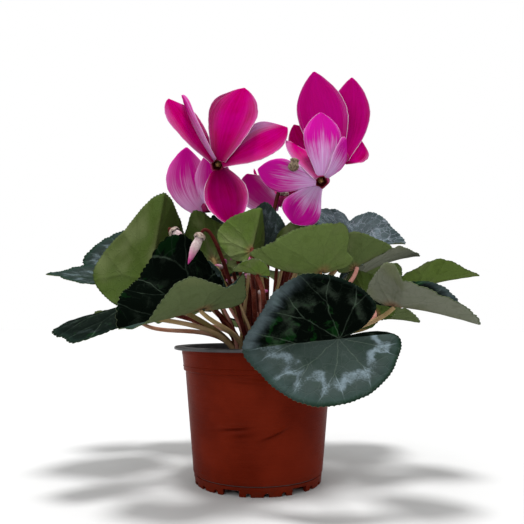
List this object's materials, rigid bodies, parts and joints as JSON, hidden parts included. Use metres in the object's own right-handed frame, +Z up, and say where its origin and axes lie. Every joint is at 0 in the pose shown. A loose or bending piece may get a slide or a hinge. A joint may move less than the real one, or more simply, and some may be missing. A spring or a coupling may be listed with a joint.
{
  "type": "potted cyclamen",
  "caption": "Flowering cyclamen plant with marbled heart-shaped leaves and reflexed blooms on hooked stems, growing from a tuber in a round stepped nursery pot.",
  "frame": {"origin": "centre of the pot's foot, on the surface that the pot stands on", "axes": "+Z up along the pot's axis, -Y towards the viewer of the picture, +X to the right in the picture"},
  "size_m": [0.3208, 0.2357, 0.2983],
  "materials": {
    "pot": "semi-matte terracotta plastic, black inside",
    "soil": "moist peat soil",
    "stems": "fleshy stalks, pink-brown to olive",
    "leaf": "dark green with silver marbling above, olive below",
    "petals": "magenta petals with pale streaks and edges",
    "anthers": "brown-yellow anthers",
    "bud": "pale pink closed petals",
    "dried_bud": "brown shrivelled bud"
  },
  "bodies": {
    "root": {"pot": "pot", "soil": "soil", "tuber_and_stems": "stems", "dried_bud": "dried_bud", "leaf_over_rim": "leaf", "leaf_left_tall": "leaf", "leaf_left_fold": "leaf", "leaf_left_far": "leaf", "leaf_left_back": "leaf", "leaf_left_low": "leaf", "leaf_left_inner": "leaf", "leaf_centre_back": "leaf", "leaf_centre_up": "leaf", "leaf_centre_dark": "leaf", "leaf_centre_olive": "leaf", "leaf_centre_wide": "leaf", "leaf_right_green": "leaf", "leaf_right_slim": "leaf", "leaf_right_silver": "leaf", "leaf_right_large": "leaf", "leaf_right_top": "leaf", "leaf_right_far": "leaf", "leaf_right_fold": "leaf", "leaf_right_low": "leaf", "leaf_right_inner": "leaf", "leaf_young": "leaf", "leaf_young_dark": "leaf", "leaf_back_right": "leaf", "leaf_back_right_low": "leaf", "leaf_back_middle": "leaf", "leaf_back_low": "leaf", "leaf_back_left": "leaf", "leaf_back_left_low": "leaf", "leaf_back_inner": "leaf", "leaf_side_left": "leaf", "bloom_left": "petals", "bloom_right": "petals", "bloom_back": "petals", "bloom_left_low": "petals", "bloom_middle": "petals", "bloom_left_anthers": "anthers", "bloom_right_anthers": "anthers", "bloom_back_anthers": "anthers", "bloom_left_low_anthers": "anthers", "bloom_middle_anthers": "anthers", "bud_hooked": "bud", "bud_upper": "bud", "bud_dark": "bud", "bud_low": "bud"}
  },
  "joints": []
}
